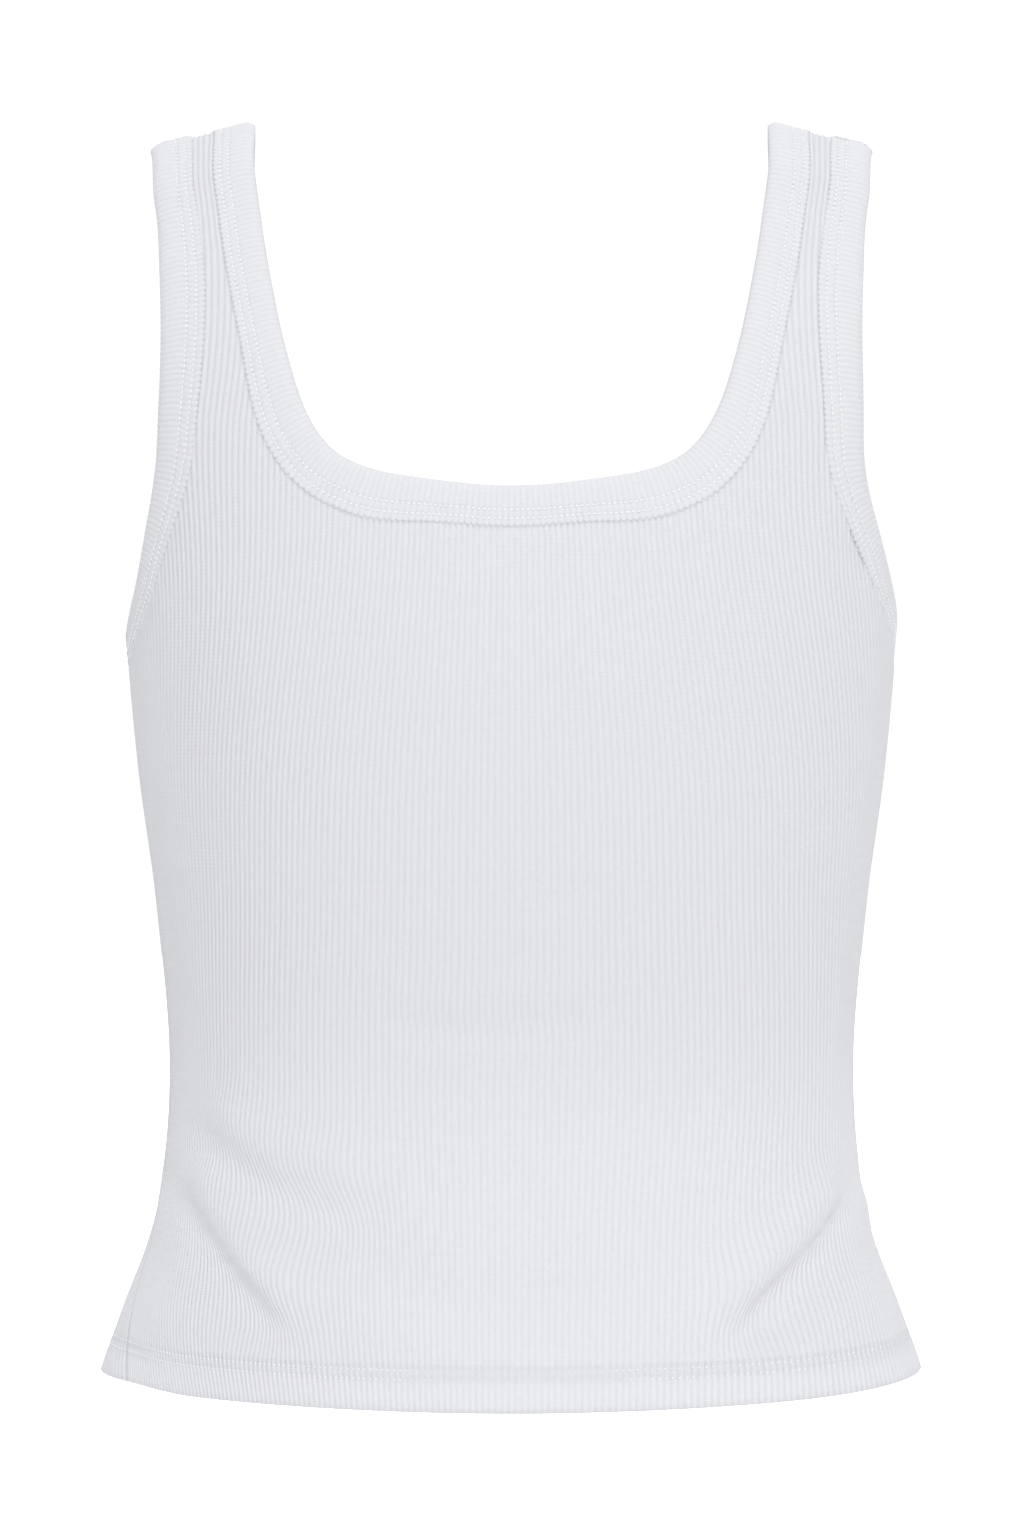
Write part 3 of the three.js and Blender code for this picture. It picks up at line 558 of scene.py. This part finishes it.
def make_panel(side, name, creases, settings, material):
    """One ribbed panel: a flat grid cut under the bands, moved onto the form, ribbed, creased and hemmed."""
    columns = 2 * RIBS_PER_QUARTER * POINTS_PER_RIB
    rows = panel_rows()
    made = flat_cloth(columns, len(rows) - 1)
    made.verts.ensure_lookup_table()
    rib = np.array([v.co.x for v in made.verts])
    row = np.rint((np.array([v.co.y for v in made.verts]) + 1) / 2 * (len(rows) - 1)).astype(int)
    down, layer = rows[row, 0], rows[row, 1]
    hand = np.where(rib < 0, LEFT, RIGHT)
    maps = {h: RibMap(side, h) for h in (LEFT, RIGHT)}
    part = np.where(rib < 0, maps[LEFT].part(np.abs(rib), down), maps[RIGHT].part(np.abs(rib), down))

    cuts = {}
    for h in (LEFT, RIGHT):
        cuts[h] = (moved_line(side, h, maps[h].neck_free, PANEL_TUCK, 1),
                   moved_line(side, h, maps[h].arm_free, PANEL_TUCK, -1))
    outside = np.zeros(len(rib), dtype=bool)
    for h in (LEFT, RIGHT):
        neck, arm = cuts[h]
        in_neck = (part < np.interp(down, neck[:, 1], neck[:, 0])) & (down < neck[-1, 1])
        in_arm = (part > np.interp(down, arm[:, 1], arm[:, 0])) & (down < arm[-1, 1])
        outside |= (hand == h) & (in_neck | in_arm) & (layer == 0)
    doomed = [face for face in made.faces if sum(outside[v.index] for v in face.verts) > 2]
    bmesh.ops.delete(made, geom=doomed, context="FACES")
    made.verts.ensure_lookup_table()
    kept = np.array([v.index for v in made.verts])
    edge_of_cut = np.array([v.is_boundary for v in made.verts])
    mesh = bpy.data.meshes.new(name)
    made.verts.index_update()
    made.to_mesh(mesh)
    made.free()
    flat = places_of(mesh)
    rib = flat[:, 0]
    row = np.rint((flat[:, 1] + 1) / 2 * (len(rows) - 1)).astype(int)
    down, layer = rows[row, 0].copy(), rows[row, 1]
    hand = np.where(rib < 0, LEFT, RIGHT)
    part = np.where(rib < 0, maps[LEFT].part(np.abs(rib), down), maps[RIGHT].part(np.abs(rib), down))
    ragged = edge_of_cut & (row > 0) & (down < 240) & (np.abs(rib) < 0.999)
    for h in (LEFT, RIGHT):
        line = np.vstack(cuts[h])
        chosen = np.flatnonzero(ragged & (hand == h))
        spots = np.stack((part[chosen] * LINE_SCALE, down[chosen]), axis=1)
        targets = line * (LINE_SCALE, 1)
        gaps = ((spots[:, None, :] - targets[None]) ** 2).sum(-1)
        nearest = targets[np.argmin(gaps, axis=1)]
        part[chosen] = nearest[:, 0] / LINE_SCALE
        down[chosen] = np.maximum(nearest[:, 1], PANEL_TOP)
    part = np.minimum(part, 1 - 0.0006)

    down = down - hem_lift(hand, part, down)
    base = FORM.point(side, hand, part, down)
    creased, dragged = crease_moves(base[:, 0], base[:, 2], creases)
    still = smooth_step(down, HEM_DOWN - 26, HEM_DOWN - 8) + smooth_step(np.abs(part), 0.85, 0.98)
    part = part + hand * dragged / LINE_SCALE * np.clip(1 - still, 0, 1)
    tree = band_centres([NECK, *ARMHOLES.values()])
    press = pressed_by_bands(base, tree)
    phase = rib * RIBS_PER_QUARTER
    outer = layer == 0
    hem = smooth_step(down, HEM_DOWN - 17, HEM_DOWN - 12)
    to_the_side = np.abs(rib) ** 1.5
    groove = rib_groove(phase) * (1 - 0.65 * press)
    height = -settings.rib_height / MM * (1 + 0.7 * to_the_side) * groove + 0.25 - (0.45 + 0.6 * sunk(down)) * press
    height = np.where(outer, height + 0.12 * hem + hem_dimple(down), height + 0.12 + layer)
    height += creased
    edge_of_panel = smooth_step(np.abs(part), 1 - 0.012, 1)
    height -= 0.5 * edge_of_panel + 0.15 * (1 - smooth_step(down, 0.2, 1.8))
    places = FORM.raised(side, hand, part, down, height)
    set_places(mesh, places * MM)
    scale_uv(mesh, 2 * RIBS_PER_QUARTER, HEM_DOWN, -RIBS_PER_QUARTER)
    # Painted shade and light for the material: darker in the rib grooves, more so towards the sides, and along the
    # side seams; painted light on the doubled hem and on the hips.
    seam = smooth_step(np.abs(part), 1 - 0.012, 1 - 0.004)
    hip_painted_light = smooth_step(down, 340, 430) * to_the_side
    set_shade(mesh, groove * (0.22 + 0.7 * to_the_side) + 0.4 * seam - 0.3 * hem - 0.45 * hip_painted_light)
    if not faces_outwards(mesh):
        flipped(mesh)
    piece = new_piece(name, mesh, material)
    thicken(piece, settings.cloth_thickness)
    return piece


def make_band(band, name, settings, material):
    """One binding: a flat grid bent into the folded section, ribbed across and joined into a loop."""
    section = np.array(BAND_SECTION)
    around = band.ribs * POINTS_PER_RIB
    made = flat_cloth(around, len(section) - 1)
    mesh = bpy.data.meshes.new(name)
    made.to_mesh(mesh)
    made.free()
    flat = places_of(mesh)
    share = (flat[:, 0] + 1) / 2
    step = np.rint((flat[:, 1] + 1) / 2 * (len(section) - 1)).astype(int)
    inward, height = section[step, 0], section[step, 1]
    middle = np.full(len(flat), BAND_WIDTH / 2)
    down = band.place(share, middle)[3]
    ahead, behind = (band.place(share + move / band.length, middle)[3] for move in (4, -4))
    falling = (ahead - behind) / 8 * smooth_step(down, 3, 14)
    phase = share * band.ribs
    groove = rib_groove(phase, 1.6)
    free_fold = step.astype(float)
    outer = free_fold < 19
    stitched = smooth_step(inward, 8.6, 9.6)
    relief = settings.band_rib_height / MM * np.where(outer, 1 - 0.3 * stitched, 0.5)
    scallop = np.where(inward > 15.1, 0.75 * (0.5 - groove), 0)
    height = height - relief * groove + droop(inward) - np.where(outer, sunk(down), 0)
    reach = (NECK_REACH if band is NECK else ARM_REACH) * np.exp(-(inward / 3) ** 2)
    bent = share + RIB_BEND * falling * smooth_step(inward, 7.5, 13.5) / band.length
    places = band.raised(bent, inward + reach + np.where(outer, scallop, 0), height)
    set_places(mesh, places * MM)
    scale_uv(mesh, band.ribs, 2 * BAND_WIDTH)
    # Painted shade in the grooves between the band's ribs.
    set_shade(mesh, groove)
    made = bmesh.new()
    made.from_mesh(mesh)
    bmesh.ops.remove_doubles(made, verts=made.verts[:], dist=2e-6)
    made.to_mesh(mesh)
    made.free()
    if not outside_up(band, mesh):
        flipped(mesh)
    piece = new_piece(name, mesh, material)
    thicken(piece, settings.band_thickness)
    return piece


def outside_up(band, mesh):
    """True if the faces near the band's middle look out of the garment."""
    side, hand, part, down = band.place(np.array([0.13]), np.array([6.0]))
    normal = FORM.directions(side, hand, part, down)[2][0]
    spot = FORM.raised(side, hand, part, down, np.array([0.9]))[0] * MM
    centres = np.empty(len(mesh.polygons) * 3)
    normals = np.empty(len(mesh.polygons) * 3)
    mesh.polygons.foreach_get("center", centres)
    mesh.polygons.foreach_get("normal", normals)
    nearest = np.argmin(((centres.reshape(-1, 3) - spot) ** 2).sum(1))
    return normals.reshape(-1, 3)[nearest] @ normal > 0


def make_stitches(name, spots, settings, material, length_share=1.0):
    """Rows of short raised stitches, each a small bead laid along its row."""
    bead_mesh = bpy.data.meshes.new("bead")
    made = bmesh.new()
    bmesh.ops.create_uvsphere(made, u_segments=6, v_segments=4, radius=0.5)
    bmesh.ops.rotate(made, verts=made.verts[:], cent=(0, 0, 0), matrix=Matrix.Rotation(math.pi / 2, 3, "Y"))
    made.to_mesh(bead_mesh)
    made.free()
    length, width = settings.stitch_length * length_share, settings.thread_width
    made = bmesh.new()
    for point, along, normal in spots:
        x = Vector(along).normalized()
        z = Vector(normal).normalized()
        y = z.cross(x).normalized()
        turn = Matrix((x, y, z)).transposed().to_4x4()
        size = Matrix.Diagonal((length, width, width * 0.8, 1))
        bead = bead_mesh.copy()
        bead.transform(Matrix.Translation(Vector(point)) @ turn @ size)
        made.from_mesh(bead)
        bpy.data.meshes.remove(bead)
    mesh = bpy.data.meshes.new(name)
    made.to_mesh(mesh)
    made.free()
    bpy.data.meshes.remove(bead_mesh)
    return new_piece(name, mesh, material)


def band_stitch_spots(band, settings):
    spots = []
    count = round(band.length * MM / settings.stitch_pitch)
    for inward in NEEDLE_ROWS:
        shares = np.arange(count) / count
        across = np.full(count, inward)
        side, hand, part, down = band.place(shares, across)
        normal = FORM.directions(side, hand, part, down)[2]
        point = FORM.point(side, hand, part, down) + normal * (STITCH_HEIGHT - sunk(down))[:, None]
        ahead = band.raised(shares + 0.3 / count, across, np.full(count, 0.5))
        behind = band.raised(shares - 0.3 / count, across, np.full(count, 0.5))
        spots.extend(zip(point * MM, ahead - behind, normal))
    return spots


def hem_stitch_spots(settings):
    spots = []
    for side in (BACK, FRONT):
        for up in HEM_NEEDLE_ROWS:
            for hand in (LEFT, RIGHT):
                count = round(205 * MM / (1.25 * settings.stitch_pitch))
                part = (np.arange(count) + 0.5) / count
                down = HEM_DOWN - up - hem_lift(hand, part, HEM_DOWN - up)
                normal = FORM.directions(side, hand, part, down)[2]
                point = FORM.point(side, hand, part, down) + normal * 0.03
                ahead = FORM.point(side, hand, part + 0.002, down)
                behind = FORM.point(side, hand, part - 0.002, down)
                spots.extend(zip(point * MM, ahead - behind, normal))
    return spots


# ---------------------------------------------------------------------------------------------------------
# Materials
# ---------------------------------------------------------------------------------------------------------

def knit_group():
    """Fine knit stitches from a piece's own cloth map, a soft unevenness of tone, and the painted shade it is given
    taken off the colour.
    """
    known = bpy.data.node_groups.get("knit_grain")
    if known:
        return known
    group = bpy.data.node_groups.new("knit_grain", "ShaderNodeTree")
    sockets = (
        ("Cloth map", "INPUT", "NodeSocketVector", None),
        ("Stitches per rib", "INPUT", "NodeSocketFloat", 2.0),
        ("Stitches along", "INPUT", "NodeSocketFloat", 1.1),
        ("Colour", "INPUT", "NodeSocketColor", (0.8, 0.8, 0.82, 1)),
        ("Uneven", "INPUT", "NodeSocketFloat", 0.03),
        ("Shade", "INPUT", "NodeSocketFloat", 0.0),
        ("Colour", "OUTPUT", "NodeSocketColor", None),
        ("Height", "OUTPUT", "NodeSocketFloat", None),
    )
    for name, way, kind, value in sockets:
        socket = group.interface.new_socket(name=name, in_out=way, socket_type=kind)
        if value is not None:
            socket.default_value = value
    nodes, links = group.nodes, group.links
    given, out = nodes.new("NodeGroupInput"), nodes.new("NodeGroupOutput")

    def math_node(operation, a, b=None):
        node = nodes.new("ShaderNodeMath")
        node.operation = operation
        for slot, value in zip(node.inputs, (a, b)):
            if value is None:
                continue
            if isinstance(value, (int, float)):
                slot.default_value = value
            else:
                links.new(value, slot)
        return node.outputs[0]

    apart = nodes.new("ShaderNodeSeparateXYZ")
    links.new(given.outputs["Cloth map"], apart.inputs[0])
    across = math_node("MULTIPLY", apart.outputs[0], given.outputs["Stitches per rib"])
    along = math_node("MULTIPLY", apart.outputs[1], given.outputs["Stitches along"])
    leg = math_node("ABSOLUTE", math_node("SUBTRACT", math_node("FRACT", across), 0.5))
    slanted = math_node("MULTIPLY", math_node("ADD", along, leg), 2 * math.pi)
    loops = math_node("MULTIPLY", math_node("SINE", slanted), 0.5)
    edge = math_node("MULTIPLY", leg, -0.8)
    noise = nodes.new("ShaderNodeTexNoise")
    noise.inputs["Scale"].default_value = 2600
    noise.inputs["Detail"].default_value = 2
    place = nodes.new("ShaderNodeTexCoord")
    links.new(place.outputs["Object"], noise.inputs["Vector"])
    fuzz = math_node("MULTIPLY", noise.outputs["Fac"], 0.8)
    height = math_node("ADD", math_node("ADD", loops, edge), fuzz)
    links.new(height, out.inputs["Height"])
    cloud = nodes.new("ShaderNodeTexNoise")
    cloud.inputs["Scale"].default_value = 420
    cloud.inputs["Detail"].default_value = 3
    links.new(place.outputs["Object"], cloud.inputs["Vector"])
    swing = math_node("MULTIPLY", math_node("SUBTRACT", cloud.outputs["Fac"], 0.5), given.outputs["Uneven"])
    # The given painted shade darkens the tone; where it is negative it paints light.
    tone = math_node("SUBTRACT", math_node("ADD", swing, 1.0), given.outputs["Shade"])
    shade = nodes.new("ShaderNodeVectorMath")
    shade.operation = "SCALE"
    links.new(given.outputs["Colour"], shade.inputs[0])
    links.new(tone, shade.inputs["Scale"])
    links.new(shade.outputs[0], out.inputs["Colour"])
    return group


def cloth_material(name, colour, bump, depth, per_rib=2, along=1.1):
    material = bpy.data.materials.new(name)
    material.use_nodes = True
    nodes, links = material.node_tree.nodes, material.node_tree.links
    shader = nodes["Principled BSDF"]
    shader.inputs["Roughness"].default_value = 0.92
    shader.inputs["Specular IOR Level"].default_value = 0.18
    shader.inputs["Sheen Weight"].default_value = 0.12
    shader.inputs["Sheen Roughness"].default_value = 0.6
    uv = nodes.new("ShaderNodeUVMap")
    uv.uv_map = "cloth"
    grain = nodes.new("ShaderNodeGroup")
    grain.node_tree = knit_group()
    grain.inputs["Colour"].default_value = (*colour, 1)
    grain.inputs["Stitches per rib"].default_value = per_rib
    grain.inputs["Stitches along"].default_value = along
    # Reads the painted shade attribute; depth sets how strongly it darkens the colour, or lightens it where negative.
    painted_shade_node = nodes.new("ShaderNodeAttribute")
    painted_shade_node.attribute_name = "shade"
    darkness = nodes.new("ShaderNodeMath")
    darkness.operation = "MULTIPLY"
    darkness.inputs[1].default_value = depth
    links.new(painted_shade_node.outputs["Fac"], darkness.inputs[0])
    links.new(darkness.outputs[0], grain.inputs["Shade"])
    relief = nodes.new("ShaderNodeBump")
    relief.inputs["Strength"].default_value = bump
    relief.inputs["Distance"].default_value = 0.0002
    links.new(uv.outputs[0], grain.inputs["Cloth map"])
    links.new(grain.outputs["Colour"], shader.inputs["Base Color"])
    links.new(grain.outputs["Height"], relief.inputs["Height"])
    links.new(relief.outputs[0], shader.inputs["Normal"])
    return material


def thread_material(colour):
    material = bpy.data.materials.new("white_thread")
    material.use_nodes = True
    shader = material.node_tree.nodes["Principled BSDF"]
    shader.inputs["Base Color"].default_value = (*colour, 1)
    shader.inputs["Roughness"].default_value = 0.6
    # A faint glow on the thread: painted light that keeps the stitches brighter than the cloth.
    shader.inputs["Emission Color"].default_value = (*colour, 1)
    shader.inputs["Emission Strength"].default_value = 0.05
    return material


def material_of(name, settings):
    known = bpy.data.materials.get(name)
    if known:
        return known
    # The last number is the strength of the painted shade on each cloth.
    if name == "rib_cotton":
        return cloth_material(name, settings.cloth_colour, 0.35, 0.14)
    if name == "binding_cotton":
        return cloth_material(name, settings.band_colour, 0.3, 0.05)
    return thread_material(settings.thread_colour)


# ---------------------------------------------------------------------------------------------------------
# What a user would change
# ---------------------------------------------------------------------------------------------------------

class TankTopCloth(bpy.types.PropertyGroup):
    """Sizes and colours of the ribbed cloth and its stitching"""

    rib_height: bpy.props.FloatProperty(
        name="Rib height", description="How high the ribs of the panels stand", default=0.00052,
        min=0, max=0.002, precision=5, unit="LENGTH")
    band_rib_height: bpy.props.FloatProperty(
        name="Band rib height", description="How high the ribs of the bands stand", default=0.00035,
        min=0, max=0.002, precision=5, unit="LENGTH")
    cloth_thickness: bpy.props.FloatProperty(
        name="Cloth thickness", description="Thickness of the panels", default=0.00115,
        min=0.0003, max=0.003, precision=5, unit="LENGTH")
    band_thickness: bpy.props.FloatProperty(
        name="Band thickness", description="Thickness of one layer of the bands", default=0.00065,
        min=0.0003, max=0.002, precision=5, unit="LENGTH")
    stitch_pitch: bpy.props.FloatProperty(
        name="Stitch pitch", description="From one stitch to the next", default=0.00196,
        min=0.0015, max=0.005, precision=5, unit="LENGTH")
    stitch_length: bpy.props.FloatProperty(
        name="Stitch length", description="Length of the thread that shows in a stitch", default=0.0013,
        min=0.0005, max=0.004, precision=5, unit="LENGTH")
    thread_width: bpy.props.FloatProperty(
        name="Thread width", description="Width of the sewing thread", default=0.00065,
        min=0.0002, max=0.001, precision=5, unit="LENGTH")
    cloth_colour: bpy.props.FloatVectorProperty(
        name="Cloth colour", description="Colour of the two panels", default=(0.775, 0.775, 0.795),
        size=3, min=0, max=1, subtype="COLOR")
    band_colour: bpy.props.FloatVectorProperty(
        name="Band colour", description="Colour of the bindings", default=(0.79, 0.79, 0.81),
        size=3, min=0, max=1, subtype="COLOR")
    thread_colour: bpy.props.FloatVectorProperty(
        name="Thread colour", description="Colour of the stitching", default=(0.95, 0.95, 0.96),
        size=3, min=0, max=1, subtype="COLOR")


class TankTopStage(bpy.types.PropertyGroup):
    """The floor, the light and the camera"""

    floor_level: bpy.props.FloatProperty(
        name="Floor level", description="Height of the floor", default=-0.95, unit="LENGTH")
    camera_distance: bpy.props.FloatProperty(
        name="Camera distance", description="How far the camera stands from the top's middle", default=1.6,
        min=0.5, max=5, unit="LENGTH")
    camera_height: bpy.props.FloatProperty(
        name="Camera height", description="Height of the camera", default=-0.2483, unit="LENGTH")
    key_power: bpy.props.FloatProperty(
        name="Key light", description="Power of the large light above the front", default=61, min=0)
    fill_light: bpy.props.FloatProperty(
        name="Even light", description="Brightness of the light from all round", default=0.3, min=0)
    top_light: bpy.props.FloatProperty(
        name="Top light", description="How much brighter the light from above is", default=0.8, min=0)
    front_light: bpy.props.FloatProperty(
        name="Front light", description="How much brighter the light from the front is", default=0.2, min=0)


class TANKTOP_OT_panels(bpy.types.Operator):
    """Makes the two ribbed panels with their turned-up hem"""

    bl_idname = "tanktop.panels"
    bl_label = "Back and front panel"

    def execute(self, context):
        settings = context.scene.tank_top_cloth
        material = material_of("rib_cotton", settings)
        rows = (("back_cloth", BACK, BACK_CREASES, "back_panel"), ("front_cloth", FRONT, FRONT_CREASES, "front_panel"))
        for name, side, creases, node in rows:
            piece = make_panel(side, name, creases, settings, material)
            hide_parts(node)
        return {"FINISHED"}


class TANKTOP_OT_bands(bpy.types.Operator):
    """Makes the folded bindings of the neck and the armholes"""

    bl_idname = "tanktop.bands"
    bl_label = "Neck and armhole bindings"

    def execute(self, context):
        settings = context.scene.tank_top_cloth
        material = material_of("binding_cotton", settings)
        rows = (
            ("neck_binding", NECK, "neck_band"),
            ("armhole_binding_left", ARMHOLES[LEFT], "armhole_band_left"),
            ("armhole_binding_right", ARMHOLES[RIGHT], "armhole_band_right"),
        )
        for name, band, node in rows:
            piece = make_band(band, name, settings, material)
            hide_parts(node)
        return {"FINISHED"}


class TANKTOP_OT_stitching(bpy.types.Operator):
    """Makes the needle rows of the bindings and the hem"""

    bl_idname = "tanktop.stitching"
    bl_label = "Needle rows"

    def execute(self, context):
        settings = context.scene.tank_top_cloth
        material = material_of("white_thread", settings)
        rows = {
            "neck_needle_rows": band_stitch_spots(NECK, settings),
            "armhole_needle_rows_left": band_stitch_spots(ARMHOLES[LEFT], settings),
            "armhole_needle_rows_right": band_stitch_spots(ARMHOLES[RIGHT], settings),
            "hem_needle_rows": hem_stitch_spots(settings),
        }
        for name, spots in rows.items():
            make_stitches(name, spots, settings, material, 0.6 if name == "hem_needle_rows" else 1.0)
        return {"FINISHED"}


class TANKTOP_OT_stage(bpy.types.Operator):
    """Makes the floor, the soft light and the camera"""

    bl_idname = "tanktop.stage"
    bl_label = "Floor, light and camera"

    def execute(self, context):
        stage = context.scene.tank_top_stage
        make_floor(stage)
        make_light(context.scene, stage)
        make_camera(context.scene, stage)
        return {"FINISHED"}


class TANKTOP_PT_sidebar(bpy.types.Panel):
    """Lists the pieces and what can be changed about them"""

    bl_idname = "TANKTOP_PT_sidebar"
    bl_label = "Tank top"
    bl_space_type = "VIEW_3D"
    bl_region_type = "UI"
    bl_category = "Tank top"

    def draw(self, context):
        layout = self.layout
        for settings in (context.scene.tank_top_cloth, context.scene.tank_top_stage):
            for name in settings.bl_rna.properties.keys():
                if name not in ("name", "rna_type"):
                    layout.prop(settings, name)
        for operator in OPERATORS:
            layout.operator(operator.bl_idname)


OPERATORS = (TANKTOP_OT_panels, TANKTOP_OT_bands, TANKTOP_OT_stitching, TANKTOP_OT_stage)
CLASSES = (TankTopCloth, TankTopStage, *OPERATORS, TANKTOP_PT_sidebar)


def make_floor(stage):
    made = bmesh.new()
    bmesh.ops.create_circle(made, cap_ends=True, segments=96, radius=14)
    bmesh.ops.translate(made, verts=made.verts[:], vec=(0, 0, stage.floor_level))
    mesh = bpy.data.meshes.new("floor")
    made.to_mesh(mesh)
    made.free()
    floor = bpy.data.objects.new("floor", mesh)
    bpy.context.scene.collection.objects.link(floor)
    material = bpy.data.materials.new("pale_floor")
    material.use_nodes = True
    shader = material.node_tree.nodes["Principled BSDF"]
    shader.inputs["Base Color"].default_value = (0.9, 0.9, 0.9, 1)
    shader.inputs["Roughness"].default_value = 0.9
    shader.inputs["Specular IOR Level"].default_value = 0.0
    shader.inputs["Emission Color"].default_value = (1, 1, 1, 1)
    nodes, links = material.node_tree.nodes, material.node_tree.links
    glow = nodes.new("ShaderNodeMath")
    glow.operation = "MULTIPLY_ADD"
    glow.inputs[1].default_value = 1.0
    glow.inputs[2].default_value = 0.05
    links.new(nodes.new("ShaderNodeLightPath").outputs["Is Camera Ray"], glow.inputs[0])
    links.new(glow.outputs[0], shader.inputs["Emission Strength"])
    mesh.materials.append(material)


def area_light(name, place, target, size, power, colour=(1, 1, 1)):
    light = bpy.data.lights.new(name, "AREA")
    light.shape = "DISK"
    light.size = size
    light.energy = power
    light.color = colour
    holder = bpy.data.objects.new(name, light)
    holder.location = place
    holder.rotation_euler = (Vector(target) - Vector(place)).to_track_quat("-Z", "Y").to_euler()
    bpy.context.scene.collection.objects.link(holder)


def make_light(scene, stage):
    middle = (0, 0, -0.24)
    area_light("key_light", (0.95, -2.6, 4.4), middle, 3.2, stage.key_power)
    area_light("low_light", (0.3, -3.4, -0.3), middle, 1.2, 0.19 * stage.key_power)
    area_light("rear_light", (0.3, 2.6, 1.4), middle, 1.8, 0.25 * stage.key_power)
    world = bpy.data.worlds.new("studio")
    scene.world = world
    world.use_nodes = True
    nodes, links = world.node_tree.nodes, world.node_tree.links
    soft = nodes["Background"]
    soft.inputs["Color"].default_value = (0.97, 0.98, 1.0, 1)
    toward = nodes.new("ShaderNodeSeparateXYZ")
    links.new(nodes.new("ShaderNodeTexCoord").outputs["Generated"], toward.inputs[0])
    strength = None
    for axis, gain in ((1, -stage.front_light), (2, stage.top_light)):
        ahead = nodes.new("ShaderNodeMath")
        ahead.operation = "MULTIPLY"
        ahead.inputs[1].default_value = gain
        ahead.use_clamp = True
        links.new(toward.outputs[axis], ahead.inputs[0])
        total = nodes.new("ShaderNodeMath")
        total.inputs[1].default_value = stage.fill_light
        links.new(ahead.outputs[0], total.inputs[0])
        if strength is not None:
            links.new(strength, total.inputs[1])
        strength = total.outputs[0]
    links.new(strength, soft.inputs["Strength"])
    seen = nodes.new("ShaderNodeBackground")
    seen.inputs["Color"].default_value = (1, 1, 1, 1)
    seen.inputs["Strength"].default_value = 1.05
    which = nodes.new("ShaderNodeLightPath")
    mix = nodes.new("ShaderNodeMixShader")
    links.new(which.outputs["Is Camera Ray"], mix.inputs[0])
    links.new(soft.outputs[0], mix.inputs[1])
    links.new(seen.outputs[0], mix.inputs[2])
    links.new(mix.outputs[0], nodes["World Output"].inputs["Surface"])
    scene.view_settings.view_transform = "Standard"
    scene.view_settings.look = "None"


def make_camera(scene, stage):
    lens = bpy.data.cameras.new("camera")
    lens.sensor_width = 36
    lens.lens = 36 * 1600 / 591.36
    lens.dof.use_dof = False
    camera = bpy.data.objects.new("camera", lens)
    camera.location = (0.0002, -stage.camera_distance, stage.camera_height)
    camera.rotation_euler = (math.pi / 2, 0, 0)
    scene.collection.objects.link(camera)
    scene.camera = camera


def register():
    for entry in CLASSES:
        bpy.utils.register_class(entry)
    bpy.types.Scene.tank_top_cloth = bpy.props.PointerProperty(type=TankTopCloth)
    bpy.types.Scene.tank_top_stage = bpy.props.PointerProperty(type=TankTopStage)


def unregister():
    del bpy.types.Scene.tank_top_stage
    del bpy.types.Scene.tank_top_cloth
    for entry in reversed(CLASSES):
        bpy.utils.unregister_class(entry)


def main():
    register()
    bpy.ops.tanktop.panels()
    bpy.ops.tanktop.bands()
    bpy.ops.tanktop.stitching()
    bpy.ops.tanktop.stage()


if __name__ == "__main__":
    main()
